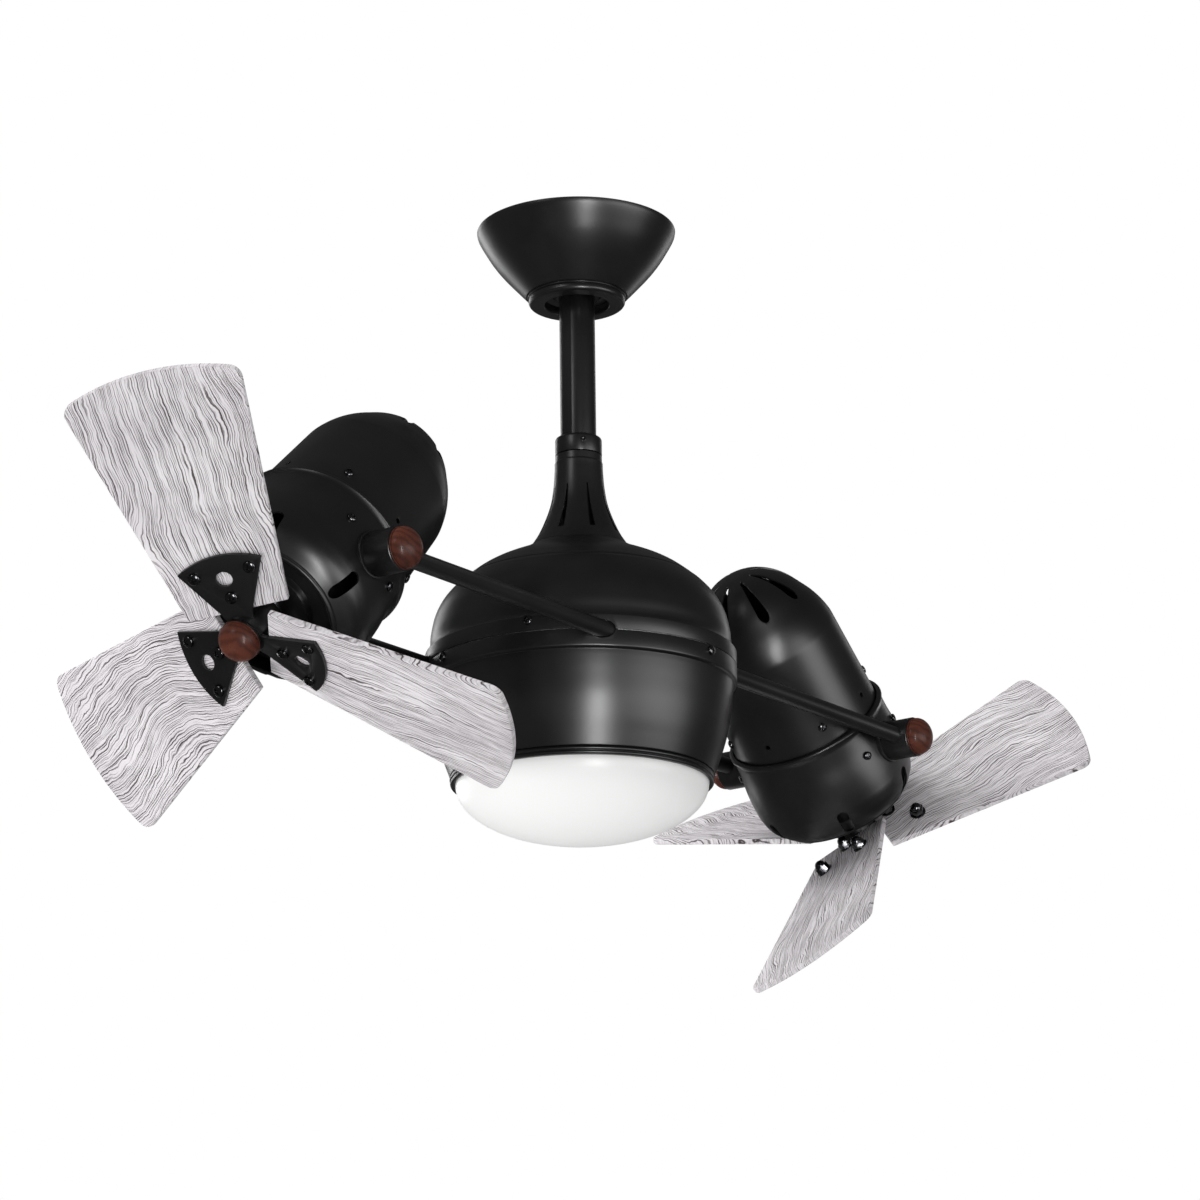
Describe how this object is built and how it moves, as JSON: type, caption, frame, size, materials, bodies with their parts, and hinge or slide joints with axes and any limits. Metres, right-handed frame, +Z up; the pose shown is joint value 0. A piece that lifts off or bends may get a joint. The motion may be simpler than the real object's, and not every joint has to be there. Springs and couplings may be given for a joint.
{
  "type": "twin head ceiling fan",
  "caption": "Ceiling fan with a head at each end of a pair of turning arms, tilting heads with wooden blades, and a round centre body with a glass bowl light.",
  "frame": {"origin": "centre of the ceiling plane, under the middle of the hanger bracket, on the downrod's axis", "axes": "+Z up into the ceiling, +X along the arms towards the right head, +Y away from the viewer; the carrier is stored with its arms along X"},
  "size_m": [1.0009, 0.3735, 0.545],
  "materials": {
    "black_paint": "satin black paint",
    "black_screws": "black oxide, glossy",
    "black_plastic": "moulded",
    "zinc_plate": "zinc plated",
    "cast_alloy": "as cast and machined",
    "bare_steel": "ground",
    "motor_laminations": "stacked sheet with enamelled copper coils",
    "brass": "machined",
    "cap_wood": "stained and varnished",
    "blade_wood": "weathered grey grain",
    "white_board": "solder mask",
    "opal_glass": "opal, fire polished"
  },
  "bodies": {
    "ceiling_mount": {"hanger_bracket": "zinc_plate", "canopy": "black_paint", "canopy_ring": "black_paint", "canopy_screws": "black_screws"},
    "downrod_set": {"hanger_ball": "black_plastic", "ball_pin": "bare_steel", "downrod": "black_paint", "rod_collar": "black_paint", "collar_screws": "black_screws", "neck_cover": "black_paint", "spindle": "black_paint", "clevis_pin": "zinc_plate", "spindle_nut": "zinc_plate", "slip_rings": "brass"},
    "carrier": {"arm_carrier": "cast_alloy", "hub_bearings": "bare_steel", "dome": "black_paint", "drum": "black_paint", "seam_screws": "black_screws", "front_arm": "black_paint", "rear_arm": "black_paint", "arm_clamps": "cast_alloy", "clamp_screws": "zinc_plate", "boss_caps": "cap_wood", "pivot_bolts": "zinc_plate", "brush_holder": "black_plastic", "lamp_plate": "zinc_plate", "led_board": "white_board", "glass_bowl": "opal_glass", "glass_ring": "black_paint"},
    "left_head": {"left_rear_shell": "black_paint", "left_front_shell": "black_paint", "left_shell_screws": "black_screws", "left_motor_frame": "black_paint", "left_stator": "motor_laminations", "left_motor_bearings": "bare_steel", "left_pivot_bushes": "black_plastic"},
    "left_rotor": {"left_motor_rotor": "bare_steel", "left_blade_holder": "black_paint", "left_blade_1": "blade_wood", "left_blade_2": "blade_wood", "left_blade_3": "blade_wood", "left_blade_screws": "black_screws", "left_cap_nuts": "black_screws", "left_finial": "cap_wood"},
    "right_head": {"right_rear_shell": "black_paint", "right_front_shell": "black_paint", "right_shell_screws": "black_screws", "right_motor_frame": "black_paint", "right_stator": "motor_laminations", "right_motor_bearings": "bare_steel", "right_pivot_bushes": "black_plastic"},
    "right_rotor": {"right_motor_rotor": "bare_steel", "right_blade_holder": "black_paint", "right_blade_1": "blade_wood", "right_blade_2": "blade_wood", "right_blade_3": "blade_wood", "right_blade_screws": "black_screws", "right_cap_nuts": "black_screws", "right_finial": "cap_wood"}
  },
  "joints": [
    {"name": "downrod_swing", "type": "hinge", "parent": "ceiling_mount", "child": "downrod_set", "pos_m": [0, 0, -0.034], "axis": [0, 1, 0], "range_deg": [-12, 12]},
    {"name": "carrier_spin", "type": "hinge", "parent": "downrod_set", "child": "carrier", "pos_m": [0, 0, -0.35], "axis": [0, 0, 1], "continuous": true},
    {"name": "left_tilt", "type": "hinge", "parent": "carrier", "child": "left_head", "pos_m": [-0.32, 0, -0.3434], "axis": [0, 1, 0], "range_deg": [-44.2, 135.8]},
    {"name": "right_tilt", "type": "hinge", "parent": "carrier", "child": "right_head", "pos_m": [0.32, 0, -0.3434], "axis": [0, -1, 0], "range_deg": [-44.2, 135.8]},
    {"name": "left_spin", "type": "hinge", "parent": "left_head", "child": "left_rotor", "pos_m": [-0.32, 0, -0.3434], "axis": [-0.6972, 0, -0.7169], "continuous": true},
    {"name": "right_spin", "type": "hinge", "parent": "right_head", "child": "right_rotor", "pos_m": [0.32, 0, -0.3434], "axis": [0.6972, 0, -0.7169], "continuous": true}
  ]
}
